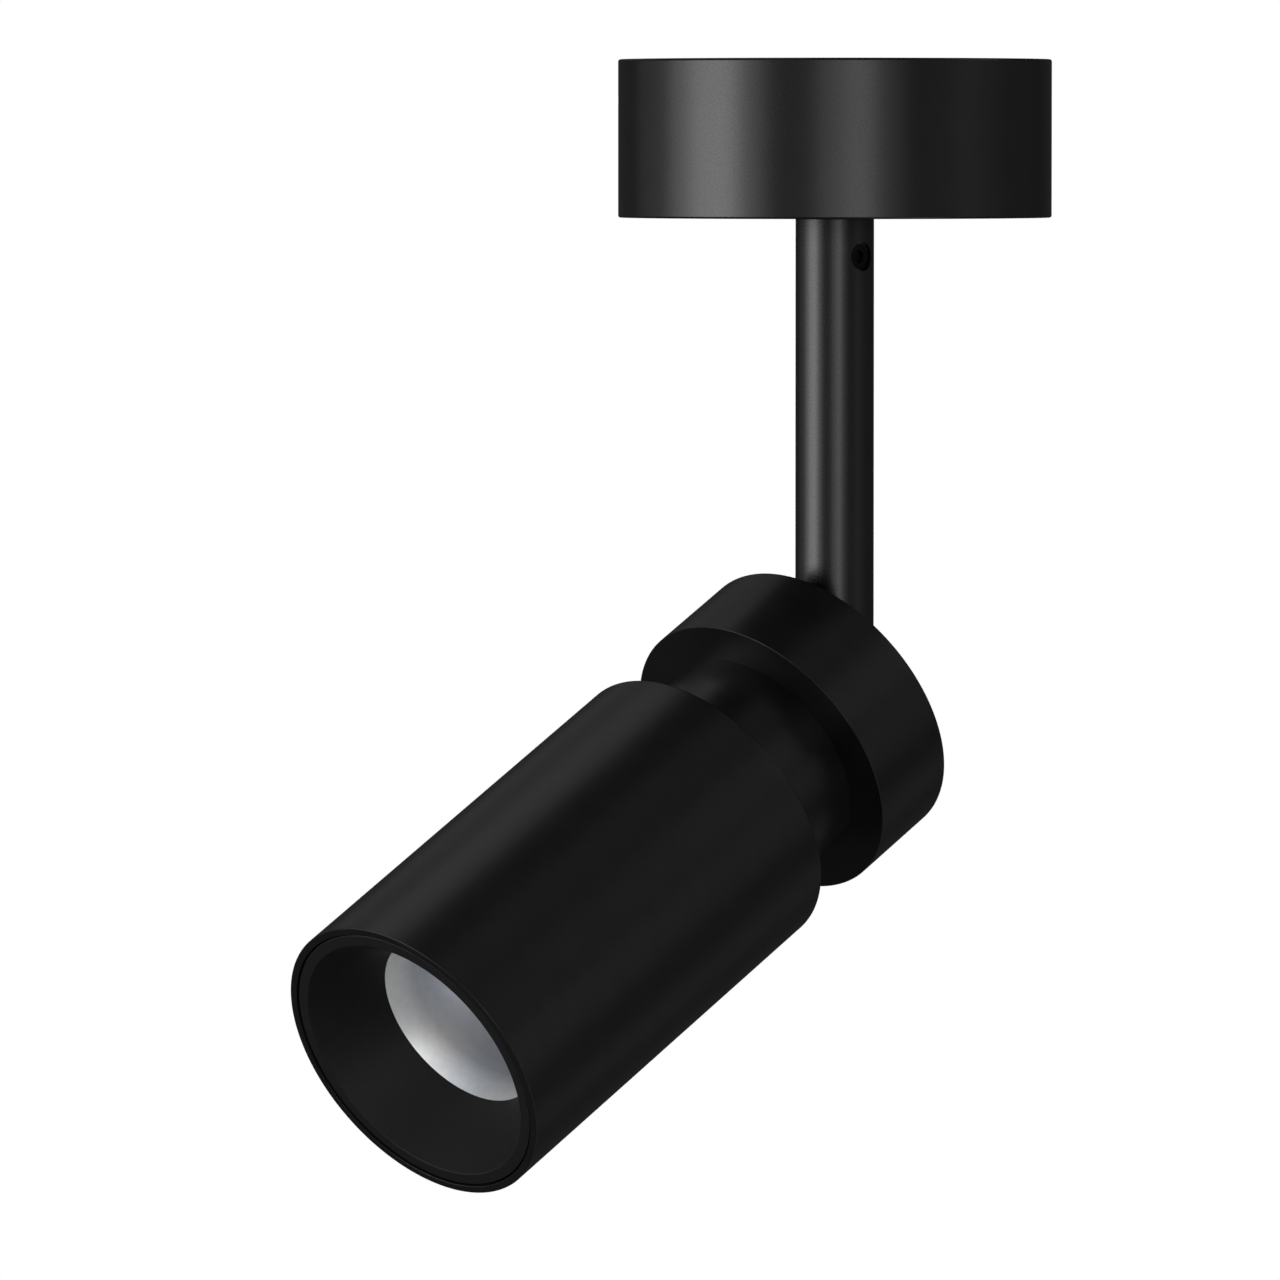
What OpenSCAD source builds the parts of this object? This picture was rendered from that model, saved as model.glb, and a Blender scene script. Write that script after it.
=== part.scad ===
// Surface-mounted ceiling spotlight: a round canopy, a stem that pans under it and a head that tilts.
// Millimetres. The origin is the centre of the face that lies on the ceiling, +Z is up, and the head
// aims towards -Y and down. Pieces of the head are drawn along +Z, the way the light leaves, from the
// tilt axis.

/* [Canopy] */
// Outside diameter of the canopy
canopy_d = 85; // [83:1:110]
// Height of the canopy, from the ceiling to its underside
canopy_h = 31; // [30:1:45]
// Thickness of the canopy's side wall
cover_wall = 1.6; // [1.2:0.1:2]
// Thickness of the canopy's floor
cover_floor = 2; // [1.6:0.1:3]
// Chamfer on the outer edges of the canopy, the ring and the barrel
edge_chamfer = 0.4; // [0.2:0.1:0.7]
// Distance of the two cover screws below the ceiling
cover_screw_drop = 8; // [7:0.5:11]

/* [Mounting plate] */
// Thickness of the steel plate that is screwed to the ceiling
plate_t = 1.5; // [1.2:0.1:2]
// Distance between the centres of the two ceiling screw slots
slot_spacing = 60; // [56:1:62]
// Width of a ceiling screw slot
slot_w = 4.5; // [4:0.1:5.5]
// Length of a ceiling screw slot, end to end
slot_len = 10; // [8:0.5:12]
// Bore of the grommet that the supply cable comes through
entry_d = 10; // [8:0.5:11]
// Width of an ear that is bent down from the plate
ear_w = 10; // [8:0.5:12]

/* [Driver] */
// Length of the driver's case
driver_l = 54; // [48:1:55]
// Width of the driver's case
driver_w = 28; // [24:1:30]
// Height of the driver's case, with its lid
driver_h = 17; // [14:0.5:18]
// Thickness of the driver's lid
driver_lid_t = 2; // [1.5:0.1:3]

/* [Swivel and stem] */
// Outside diameter of the stem tube
stem_d = 15.4; // [14.8:0.2:20]
// Wall of the stem tube
stem_wall = 1.2; // [1:0.1:1.4]
// From the canopy's underside down to the tilt axis
pivot_drop = 93.3; // [80:0.1:300]
// Thread of the hollow spigot that the stem turns on
spigot_d = 10; // [9.2:0.2:10.4]
// Bore of the spigot
spigot_bore = 6.4; // [5.6:0.2:6.8]
// Outside diameter of the cable in the stem
cable_d = 5; // [4.4:0.2:5.4]
// Thread of the set screw in the side of the stem
set_screw_d = 5; // [4:0.5:5.5]
// From the canopy's underside down to the set screw
set_screw_drop = 7.6; // [6.6:0.1:12]

/* [Tilt joint] */
// Angle between the light's axis and straight down
head_tilt = 60; // [0:1:80]
// Diameter of the two pivot screws
pivot_screw_d = 4; // [3.4:0.2:4.8]
// Diameter of the knuckle's eye and of the hinge ears' round ends
eye_d = 13; // [11.5:0.5:14]
// Width of the knuckle's fork, across both cheeks
fork_w = 9.4; // [8.8:0.2:11]
// Width of the slot between the cheeks, where the wires pass
wire_slot_w = 4.8; // [4.2:0.2:5.2]
// Thickness of a hinge ear
hinge_ear_t = 2.6; // [2.2:0.2:4]
// Thickness of a pivot washer
pivot_washer_t = 0.5; // [0.4:0.1:0.9]

/* [Head] */
// Outside diameter of the ring and the barrel
head_d = 60; // [59:1:75]
// From the tilt axis to the ring's rear face
ring_setback = 3.7; // [3.6:0.1:6]
// Length of the ring
ring_len = 20.1; // [18:0.1:30]
// Depth of the dish in the ring's rear face
dish_depth = 7; // [6.5:0.5:9]
// Wall of the ring around the dish
dish_wall = 2.4; // [1.8:0.1:3]
// Thickness of the hinge plate
hinge_plate_t = 3; // [2.5:0.1:4]
// Outside diameter of the neck
neck_d = 44.6; // [44:0.2:50]
// Length of the neck that shows between the ring and the barrel
neck_gap = 19.4; // [14:0.1:30]
// Length of the barrel
barrel_len = 88.4; // [82:0.1:140]
// Wall of the barrel
barrel_wall = 2.2; // [1.9:0.1:2.8]
// Thinner wall of the barrel at its mouth, around the cone
mouth_wall = 1.5; // [1.2:0.1:1.7]
// Thickness of the barrel's rear wall
barrel_floor = 2.5; // [2:0.1:3.5]

/* [Heat sink] */
// Thickness of the heat sink's rear flange and of its front seat
sink_flange_t = 4; // [3:0.5:5]
// Diameter of the heat sink's core
sink_core_d = 17; // [12:0.5:18]
// Number of fins
fin_count = 14; // [10:2:14]
// Thickness of a fin
fin_t = 1.5; // [1.2:0.1:1.7]

/* [Light engine] */
// Side of the square light-emitting board
board_w = 16; // [13:0.5:16]
// Thickness of the board
board_t = 1.4; // [1:0.1:1.6]
// Diameter of the yellow emitting disc
emitter_d = 12; // [9:0.5:12.5]
// Outside diameter of the board's holder
holder_d = 44; // [42:0.5:48]
// Height of the holder
holder_h = 5; // [4.6:0.1:6]
// Distance between the holder's two screws
holder_spacing = 35; // [34:0.5:36]

/* [Optics] */
// Diameter of the cone's open end, inside the lip
cone_mouth_d = 51.8; // [48:0.1:53]
// Diameter of the cone's inner end
cone_end_d = 36.4; // [33:0.1:38]
// From the barrel's rim to the cone's inner end
cone_depth = 14.4; // [12:0.1:17]
// Depth of the cone's lip behind the barrel's rim
lip_recess = 0.4; // [0.3:0.1:1]
// Wall of the cone
cone_wall = 1.4; // [1.1:0.1:1.6]
// Depth of the reflector's bowl
reflector_depth = 28.3; // [26:0.1:34]
// Diameter of the reflector's throat
throat_d = 14.8; // [13.5:0.1:15]
// Wall of the reflector
reflector_wall = 0.8; // [0.6:0.1:1]

/* [Fasteners and fits] */
// Thread of the small screws
screw_d = 3; // [2.6:0.1:3.2]
// Radial clearance of a screw in its hole, and of a piece pushed into its seat
thread_clear = 0.05; // [0.04:0.01:0.1]
// Radial clearance where one piece turns on another
running_clear = 0.05; // [0.04:0.01:0.1]
// Gap beside a washer or a thrust face that turns
side_gap = 0.1; // [0.08:0.01:0.2]
// Open gap around pieces that are dropped in
loose_gap = 0.3; // [0.2:0.05:0.4]

/* [Hidden] */
$fn = 96;

// One overrun for every cut
over = 1;

// Proportions of a small screw, as shares of its thread
pan_head_share = 1.85;
pan_height_share = 0.65;
sunk_head_share = 1.9;
socket_share = 0.6;
crown_share = 0.72;
screw_socket_depth_share = 0.4;

// Canopy and mounting plate
canopy_r = canopy_d / 2;
cover_inner_r = canopy_r - cover_wall;
plate_r = cover_inner_r - 1.5 * loose_gap;
bend_r = 2 * plate_t;
ear_inset = 0.8;
ear_face_r = plate_r - ear_inset;
ear_tail = 4;
ear_drop = cover_screw_drop + ear_tail;
ear_notch_gap = 1;
cover_screw_angle = 45;
cover_screw_inset = 0.3;
entry_place_shares = [-0.5, 0.59];
entry_bush_wall = 2;
entry_hole_r = entry_d / 2 + entry_bush_wall;
grommet_flange_w = 1.8;
grommet_flange_r = entry_hole_r + grommet_flange_w;
grommet_flange_t = 1.8;
earth_place_shares = [-0.36, -0.57];

// Driver, and the terminal block beside it
driver_corner_r = 2.5;
driver_tab_l = 7;
driver_tab_w = 8;
driver_tab_t = 2;
driver_tab_y = -driver_w / 4;
driver_screw_x = driver_l / 2 + driver_tab_l / 2;
driver_parting = -plate_t - driver_h + driver_lid_t;
lead_d = 2;
lead_bends = [3.6, 7.4];
lead_plate_gap = 6;
lead_drop = plate_t + lead_plate_gap;
lead_driver_gap = 1;
lead_turn_y = driver_w / 2 + lead_driver_gap;
block_l = 14;
block_h = 11;
block_side = 2.5;
block_inset = 2;
block_x = driver_l / 2 - block_inset - block_l / 2;
block_y = lead_turn_y + (lead_bends[0] + lead_bends[1]) / 2;
block_w = lead_bends[1] - lead_bends[0] + 2 * block_side;
block_screw_d = 3.2;
lead_grip = 3;

// Swivel: a hollow spigot through the canopy's floor
floor_top = cover_floor - canopy_h;
spigot_r = spigot_d / 2;
spigot_rise = 7.5;
spigot_reach = 18;
spigot_flange_t = 0.5;
nut_t = 3;
nut_af = 1.4 * spigot_d;
nut_washer_t = 0.8;
nut_washer_r = 0.95 * spigot_d;
groove_depth = 1;
set_tip_d = 1.6;
groove_w = set_tip_d + 4 * side_gap;
stop_w = 0.6;
set_screw_z = -canopy_h - set_screw_drop;

// Stem
stem_r = stem_d / 2;
stem_bore_r = stem_r - stem_wall;
stem_top = -canopy_h - side_gap;
spigot_flange_r = stem_bore_r - 2 * side_gap;
pivot_z = -canopy_h - pivot_drop;
collar_top = -canopy_h - spigot_flange_t - 2 * side_gap;
collar_l = 20;
collar_r = stem_bore_r - thread_clear;
set_hole_r = set_screw_d / 2 + loose_gap;
set_screw_inset = 1.1;
set_socket_depth = 0.9;
cable_headroom = 1.5;

// Knuckle: a plug in the tube, a shoulder and a forked eye on the tilt axis
eye_r = eye_d / 2;
shoulder_gap = 2.5;
shoulder_rise = eye_r + shoulder_gap;
shoulder_t = 2;
stem_foot = shoulder_rise + shoulder_t;
plug_l = 12;
cable_clear = 0.3;
cable_bore_r = cable_d / 2 + cable_clear;
slot_root = 1.5;
slot_rise = eye_r - slot_root;
knuckle_screw_rise = stem_foot + plug_l / 2;
pivot_r = pivot_screw_d / 2;
ear_inner_x = fork_w / 2 + pivot_washer_t + side_gap;
ear_outer_x = ear_inner_x + hinge_ear_t;
spring_x = ear_outer_x + side_gap;
pivot_head_x = spring_x + pivot_washer_t;
pivot_head_d = 1.9 * pivot_screw_d;
pivot_head_t = 0.55 * pivot_screw_d;
pivot_tip_x = wire_slot_w / 2 + side_gap;

// Head, as distances from the tilt axis towards the light
head_r = head_d / 2;
ring_front = ring_setback + ring_len;
dish_floor = ring_setback + dish_depth;
hinge_plate_front = dish_floor + hinge_plate_t;
barrel_rear = ring_front + neck_gap;
barrel_front = barrel_rear + barrel_len;
neck_shoulder = 1.4;
neck_spigot_r = neck_d / 2 - neck_shoulder;
neck_spigot_l = 6;
neck_bore_r = 14;
ring_bore_r = neck_spigot_r + thread_clear;
dish_r = head_r - dish_wall;
hinge_plate_r = dish_r - loose_gap;
assembly_screw_r = 18;
assembly_angles = [30, 150, 270];
hinge_root_r = 3;
grommet_lip_r = ear_inner_x - side_gap;
grommet_lip_w = 0.8;
grommet_hole_r = grommet_lip_r - grommet_lip_w;
grommet_bore_r = 2.6;
grommet_lip_t = 1.2;

// Barrel and optics
barrel_bore_r = head_r - barrel_wall;
mouth_bore_r = head_r - mouth_wall;
cone_end = barrel_front - cone_depth;
reflector_flange_t = 1.2;
reflector_flange_w = 6.2;
reflector_flange_r = cone_end_d / 2 + reflector_flange_w;
retainer_t = 1.8;
retainer_front = cone_end - reflector_flange_t;
retainer_rear = retainer_front - retainer_t;
mouth_step = 0.2;
reflector_mouth_r = cone_end_d / 2 + mouth_step;
throat_r = throat_d / 2;
throat_s = cone_end - reflector_depth;
bowl_steps = 18;
bowl_power = 0.62;
skirt_gap = 0.3;
skirt_t = 1.1;
skirt_land = 7;
lip_t = 2;

// Heat sink and light engine
sink_rear = barrel_rear + barrel_floor;
sink_r = barrel_bore_r - loose_gap;
throat_rise = 0.9;
pad_t = 0.3;
board_front = throat_s - throat_rise;
seat_front = board_front - board_t - pad_t;
seat_rear = seat_front - sink_flange_t;
fin_rear = sink_rear + sink_flange_t;
emitter_t = 0.5;
holder_pocket_w = board_w + 2 * loose_gap;
holder_lip = 0.4;
holder_boss_r = 3.5;
window_flare_share = 0.8;
holder_screw_grip = 3.6;
wire_d = 1.6;
wire_radii = [10, 12.6];
wire_start_offset = 1.1;
wire_channel_w = 2.2;
wire_tail = 1;
wire_start = dish_floor - grommet_lip_t - wire_tail;
wire_straight = 4;
wire_bend_start = hinge_plate_front + wire_straight;
wire_bend_end = barrel_rear - wire_straight;
wire_end_gap = 0.2;
wire_end = board_front - wire_end_gap;
wire_rings = 14;
wire_sides = 8;

// Colours
satin_black = [0.09, 0.09, 0.095];
matte_black = [0.06, 0.06, 0.065];
steel = [0.62, 0.63, 0.65];
raw_aluminium = [0.78, 0.79, 0.8];

// Frames: the tilt axis on the stem, and the head at its angle
module at_pivot() {
    translate([0, 0, pivot_z]) children();
}

module at_head() {
    at_pivot() rotate([180 - head_tilt, 0, 0]) children();
}

// A straight tube or disc from one height to another
module sleeve(outer, inner, from, to) {
    translate([0, 0, from])
    difference() {
        cylinder(r = outer, h = to - from);
        translate([0, 0, -over]) cylinder(r = inner, h = to - from + 2 * over);
    }
}

// A rectangle with round corners, drawn flat
module round_rect(l, w, r) {
    square([l - 2 * r, w], center = true);
    square([l, w - 2 * r], center = true);
    for (x = [-1, 1], y = [-1, 1]) {
        translate([x * (l / 2 - r), y * (w / 2 - r)]) circle(r = r);
    }
}

// A hole for a small screw, from z = 0 up
module screw_hole(h) {
    cylinder(d = screw_d + 2 * thread_clear, h = h);
}

// A screw with a low round head: the head stands on z = 0 and the thread goes down
module pan_screw(d, grip) {
    head_h = pan_height_share * d;
    edge = pan_head_share * d / 2;
    difference() {
        union() {
            rotate_extrude()
                polygon([[0, 0], [edge, 0], [edge, head_h / 2], [crown_share * edge, head_h], [0, head_h]]);
            translate([0, 0, -grip]) cylinder(d = d, h = grip + head_h / 2);
        }
        translate([0, 0, head_h - screw_socket_depth_share * d]) hex_recess(socket_share * d, d);
    }
}

// A screw with a countersunk head: its top lies at z = 0 and the thread goes down
module sunk_screw(d, grip) {
    edge = sunk_head_share * d / 2;
    difference() {
        union() {
            translate([0, 0, d / 2 - edge]) cylinder(r1 = d / 2, r2 = edge, h = edge - d / 2);
            translate([0, 0, -grip]) cylinder(d = d, h = grip - (edge - d / 2) / 2);
        }
        translate([0, 0, -screw_socket_depth_share * d]) hex_recess(socket_share * d, d);
    }
}

// A headless screw from z = 0 up to its socket
module grub_screw(d, l, socket_depth) {
    difference() {
        cylinder(d = d, h = l);
        translate([0, 0, l - socket_depth]) hex_recess(d / 2, socket_depth + over);
    }
}

module hex_recess(af, depth) {
    cylinder(d = af / cos(30), h = depth, $fn = 6);
}

// A wire of even thickness along a path: a ring of points at each path point, joined by triangles
function path_way(path, i) =
    let (a = path[max(i - 1, 0)], b = path[min(i + 1, len(path) - 1)], way = b - a) way / norm(way);

function wire_ring(centre, way, side, r) =
    let (u = side / norm(side), v = cross(way, u), step = 360 / wire_sides)
    [for (k = [0:wire_sides - 1]) centre + r * (cos(k * step) * u + sin(k * step) * v)];

module swept_wire(path, side, r) {
    n = wire_sides;
    last = len(path) - 1;
    points = [for (i = [0:last]) each wire_ring(path[i], path_way(path, i), side, r)];
    walls = [
        for (i = [0:last - 1], k = [0:n - 1])
            let (a = i * n + k, b = i * n + (k + 1) % n)
            each [[a, a + n, b], [b, a + n, b + n]]
    ];
    near_cap = [for (k = [1:n - 2]) [0, k, k + 1]];
    far_cap = [for (k = [1:n - 2]) [last * n, last * n + k + 1, last * n + k]];
    polyhedron(points = points, faces = concat(walls, near_cap, far_cap));
}

// Canopy: a spun cup, open to the ceiling, with a hole for the spigot and two holes for its screws
module canopy_cover() {
    hole_r = spigot_r + 2 * thread_clear;
    color(satin_black)
    difference() {
        rotate_extrude()
            polygon([
                [hole_r, -canopy_h],
                [canopy_r - edge_chamfer, -canopy_h],
                [canopy_r, -canopy_h + edge_chamfer],
                [canopy_r, -edge_chamfer],
                [canopy_r - edge_chamfer, 0],
                [cover_inner_r, 0],
                [cover_inner_r, floor_top + cover_floor / 2],
                [cover_inner_r - cover_floor / 2, floor_top],
                [hole_r, floor_top]
            ]);
        at_cover_screws() translate([0, 0, cover_inner_r - over]) screw_hole(cover_wall + 2 * over);
    }
}

module at_cover_screws() {
    for (turn = [0, 180]) {
        rotate([0, 0, cover_screw_angle + turn])
        translate([0, 0, -cover_screw_drop])
        rotate([0, 90, 0])
            children();
    }
}

// Two headless screws through the cover's wall into the plate's ears
module cover_screws() {
    start = ear_face_r - 2 * plate_t;
    color(steel)
    at_cover_screws()
        translate([0, 0, start]) grub_screw(screw_d, canopy_r - cover_screw_inset - start, screw_d / 2);
}

// Mounting plate: a steel disc with two slots, and two ears bent down for the cover screws
module mounting_plate() {
    color(steel)
    difference() {
        union() {
            translate([0, 0, -plate_t]) linear_extrude(plate_t) plate_outline();
            for (turn = [0, 180]) rotate([0, 0, cover_screw_angle + turn]) plate_ear();
        }
        at_cover_screws() translate([0, 0, ear_face_r - 2 * plate_t]) screw_hole(3 * plate_t);
    }
}

module plate_outline() {
    hole_d = screw_d + 2 * thread_clear;
    difference() {
        circle(r = plate_r);
        for (y = [-1, 1]) translate([0, y * slot_spacing / 2]) slot_shape();
        translate(plate_r * entry_place_shares) circle(r = entry_hole_r);
        translate(plate_r * earth_place_shares) circle(d = hole_d);
        for (x = [-1, 1]) translate([x * driver_screw_x, driver_tab_y]) circle(d = hole_d);
        for (turn = [0, 180]) {
            rotate(cover_screw_angle + turn)
                translate([ear_face_r - bend_r - ear_notch_gap / 2, -ear_w / 2 - ear_notch_gap])
                    square([canopy_r, ear_w + 2 * ear_notch_gap]);
        }
    }
}

// One slot, running along Y
module slot_shape() {
    reach = slot_len / 2 - slot_w / 2;
    square([slot_w, 2 * reach], center = true);
    for (y = [-1, 1]) translate([0, y * reach]) circle(d = slot_w);
}

// An ear: the sheet turns down through a round bend, and ends in a tongue with the screw's hole
module plate_ear() {
    bend_x = ear_face_r - bend_r;
    translate([0, -ear_w / 2, 0]) {
        translate([bend_x - ear_notch_gap, 0, -plate_t]) cube([ear_notch_gap, ear_w, plate_t]);
        translate([bend_x, ear_w, -bend_r])
        rotate([90, 0, 0])
        rotate_extrude(angle = 90)
            translate([bend_r - plate_t, 0]) square([plate_t, ear_w]);
        translate([ear_face_r - plate_t, 0, -ear_drop]) cube([plate_t, ear_w, ear_drop - bend_r]);
    }
}

// Rubber bush in the plate, flush with the ceiling, that the supply cable comes through
module cable_grommet() {
    bore_r = entry_d / 2;
    color([0.12, 0.12, 0.12])
    translate(concat(plate_r * entry_place_shares, 0))
    rotate_extrude()
        polygon([
            [bore_r, 0],
            [entry_hole_r - thread_clear, 0],
            [entry_hole_r - thread_clear, -plate_t],
            [grommet_flange_r, -plate_t],
            [grommet_flange_r, -plate_t - grommet_flange_t / 2],
            [grommet_flange_r - grommet_flange_t / 2, -plate_t - grommet_flange_t],
            [bore_r, -plate_t - grommet_flange_t]
        ]);
}

// Earth screw, up into the plate
module earth_screw() {
    color([0.72, 0.6, 0.3])
    translate(concat(plate_r * earth_place_shares, -plate_t))
    rotate([180, 0, 0])
        pan_screw(screw_d, plate_t - side_gap);
}

// Driver: a moulded tray against the plate with two screw tabs, closed by a lid below
module driver_case() {
    color([0.86, 0.86, 0.84])
    difference() {
        union() {
            translate([0, 0, driver_parting])
                linear_extrude(-plate_t - driver_parting) round_rect(driver_l, driver_w, driver_corner_r);
            at_driver_screws()
                translate([-driver_tab_l / 2, -driver_tab_w / 2, 0])
                    cube([driver_tab_l, driver_tab_w, driver_tab_t]);
        }
        at_driver_screws() translate([0, 0, -over]) screw_hole(driver_tab_t + 2 * over);
    }
}

module at_driver_screws() {
    for (x = [-1, 1]) translate([x * driver_screw_x, driver_tab_y, -plate_t - driver_tab_t]) children();
}

module driver_lid() {
    step = driver_lid_t / 2;
    color([0.78, 0.78, 0.76])
    translate([0, 0, driver_parting - driver_lid_t]) {
        linear_extrude(driver_lid_t) round_rect(driver_l - step, driver_w - step, driver_corner_r);
    }
}

module driver_screws() {
    color(steel)
    at_driver_screws()
        rotate([180, 0, 0]) pan_screw(screw_d, driver_tab_t + plate_t - side_gap);
}

// Terminal block: a moulded bar with a wire hole and a screw well for each pole
module terminal_block() {
    color([0.92, 0.92, 0.9])
    translate([block_x, 0, -plate_t - block_h])
    difference() {
        translate([-block_l / 2, block_y - block_w / 2, 0]) cube([block_l, block_w, block_h]);
        for (bend = lead_bends) {
            translate([-block_l, lead_turn_y + bend, block_h + plate_t - lead_drop])
                rotate([0, 90, 0]) cylinder(r = lead_d / 2 + loose_gap, h = 2 * block_l);
            translate([0, lead_turn_y + bend, -over])
                cylinder(d = block_screw_d, h = block_h / 2 + over);
        }
    }
}

// One clamping screw in each well, stopped just above its wire
module terminal_screws() {
    well_top = -lead_drop - lead_d / 2 - side_gap;
    screw_l = well_top + plate_t + block_h - side_gap;
    color([0.8, 0.68, 0.35])
    for (bend = lead_bends) {
        translate([block_x, lead_turn_y + bend, well_top])
        rotate([180, 0, 0])
            grub_screw(block_screw_d - 2 * thread_clear, screw_l, screw_l / 3);
    }
}

// Two stiff leads that leave the driver's end and turn back into the terminal block
module mains_leads() {
    color([0.45, 0.27, 0.16])
    translate([driver_l / 2, lead_turn_y, -lead_drop])
    for (bend = lead_bends) {
        rotate([0, 0, -90]) rotate_extrude(angle = 180) translate([bend, 0]) circle(d = lead_d, $fn = 24);
        translate([-block_inset - lead_grip, bend, 0])
            rotate([0, 90, 0]) cylinder(d = lead_d, h = block_inset + lead_grip, $fn = 24);
    }
}

// Swivel spigot: a hollow threaded pin, clamped through the canopy's floor, with a stop in its groove
module swivel_spigot() {
    groove_r = spigot_r - groove_depth;
    color(steel)
    difference() {
        union() {
            translate([0, 0, -canopy_h - spigot_reach])
                cylinder(r = spigot_r, h = spigot_reach + cover_floor + spigot_rise);
            translate([0, 0, -canopy_h - spigot_flange_t])
                cylinder(r = spigot_flange_r, h = spigot_flange_t);
        }
        translate([0, 0, -canopy_h - spigot_reach - over])
            cylinder(d = spigot_bore, h = spigot_reach + cover_floor + spigot_rise + 2 * over);
        difference() {
            sleeve(spigot_r + over, groove_r, set_screw_z - groove_w / 2, set_screw_z + groove_w / 2);
            translate([-spigot_r - 2 * over, -stop_w / 2, set_screw_z - groove_w])
                cube([spigot_r + 2 * over, stop_w, 2 * groove_w]);
        }
    }
}

module spigot_washer() {
    color(steel)
        sleeve(nut_washer_r, spigot_r + thread_clear, floor_top, floor_top + nut_washer_t);
}

module spigot_nut() {
    color(steel)
    translate([0, 0, floor_top + nut_washer_t])
    difference() {
        cylinder(d = nut_af / cos(30), h = nut_t, $fn = 6);
        translate([0, 0, -over]) cylinder(r = spigot_r + thread_clear, h = nut_t + 2 * over);
    }
}

// Stem tube, from just under the canopy, round the spigot's flange, down to the knuckle's shoulder
module stem_tube() {
    foot = pivot_z + stem_foot;
    color(satin_black)
    difference() {
        sleeve(stem_r, stem_bore_r, foot, stem_top);
        translate([0, 0, set_screw_z]) rotate([0, 90, 0]) cylinder(r = set_hole_r, h = stem_d);
        translate([0, 0, pivot_z + knuckle_screw_rise])
            rotate([-90, 0, 0]) screw_hole(stem_d);
    }
}

// Collar in the top of the tube: it turns on the spigot and holds the set screw's thread
module stem_collar() {
    color(raw_aluminium)
    difference() {
        sleeve(collar_r, spigot_r + running_clear, collar_top - collar_l, collar_top);
        translate([0, 0, set_screw_z])
            rotate([0, 90, 0]) cylinder(d = set_screw_d + 2 * thread_clear, h = stem_d);
    }
}

// Set screw, recessed in the tube's wall, with a round point that runs in the spigot's groove
module set_screw() {
    body_start = spigot_r + 2 * side_gap;
    tip_start = spigot_r - groove_depth + 2 * side_gap;
    color([0.2, 0.2, 0.2])
    translate([0, 0, set_screw_z])
    rotate([0, 90, 0]) {
        translate([0, 0, body_start])
            grub_screw(set_screw_d, stem_r - set_screw_inset - body_start, set_socket_depth);
        translate([0, 0, tip_start]) cylinder(d = set_tip_d, h = body_start - tip_start + side_gap);
    }
}

// Cable through the spigot and the stem, from under the driver to the knuckle's slot
module stem_cable() {
    top = floor_top + spigot_rise + cable_headroom;
    foot = pivot_z + slot_rise + side_gap;
    color([0.1, 0.1, 0.1])
        translate([0, 0, foot]) cylinder(d = cable_d, h = top - foot);
}

// Knuckle: a turned plug and shoulder, and a fork whose two cheeks hold the pivot screws
module knuckle() {
    color(matte_black)
    at_pivot()
    difference() {
        union() {
            rotate([0, 90, 0]) cylinder(r = eye_r, h = fork_w, center = true);
            translate([-fork_w / 2, -eye_r, 0]) cube([fork_w, eye_d, shoulder_rise + shoulder_t / 2]);
            translate([0, 0, shoulder_rise]) cylinder(r = stem_r, h = shoulder_t);
            translate([0, 0, shoulder_rise + shoulder_t / 2])
                cylinder(r = stem_bore_r - thread_clear, h = shoulder_t / 2 + plug_l);
        }
        rotate([0, 90, 0]) cylinder(r = pivot_r + thread_clear, h = fork_w + 2 * over, center = true);
        translate([-wire_slot_w / 2, -eye_r - over, -eye_r - over])
            cube([wire_slot_w, eye_d + 2 * over, eye_r + over + slot_rise]);
        cylinder(r = cable_bore_r, h = stem_foot + plug_l + over);
        translate([0, 0, knuckle_screw_rise])
            rotate([-90, 0, 0]) screw_hole(stem_d);
    }
}

// Headless screw that locks the tube on the knuckle's plug, on the far side from the light
module knuckle_screw() {
    start = cable_bore_r + 2 * side_gap;
    color([0.2, 0.2, 0.2])
    translate([0, 0, pivot_z + knuckle_screw_rise])
    rotate([-90, 0, 0])
        translate([0, 0, start]) grub_screw(screw_d, stem_r - set_screw_inset - start, screw_d / 2);
}

// Pieces that repeat on both sides of the tilt axis, drawn along +X from the knuckle outwards
module both_sides() {
    at_pivot() {
        for (turn = [90, -90]) rotate([0, turn, 0]) children();
    }
}

module friction_washers() {
    color([0.9, 0.88, 0.8])
    both_sides()
        sleeve(eye_r - 2 * side_gap, pivot_r + thread_clear, fork_w / 2, fork_w / 2 + pivot_washer_t);
}

module spring_washers() {
    outer = pivot_head_d / 2 + 2 * side_gap;
    color(steel)
    both_sides()
        sleeve(outer, pivot_r + thread_clear, spring_x, spring_x + pivot_washer_t);
}

// Pivot screws: a low head outside each ear, and a shank that ends short of the wires
module pivot_screws() {
    head_edge = pivot_head_d / 2;
    shank_l = pivot_head_x - pivot_tip_x + pivot_head_t / 2;
    color([0.15, 0.15, 0.15])
    both_sides()
    difference() {
        union() {
            translate([0, 0, pivot_tip_x]) cylinder(r = pivot_r, h = shank_l);
            translate([0, 0, pivot_head_x])
            rotate_extrude()
                polygon([
                    [0, 0],
                    [head_edge, 0],
                    [head_edge, pivot_head_t / 3],
                    [crown_share * head_edge, pivot_head_t],
                    [0, pivot_head_t]
                ]);
        }
        translate([0, 0, pivot_head_x + pivot_head_t / 3])
            hex_recess(socket_share * pivot_screw_d, pivot_screw_d);
    }
}

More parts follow.
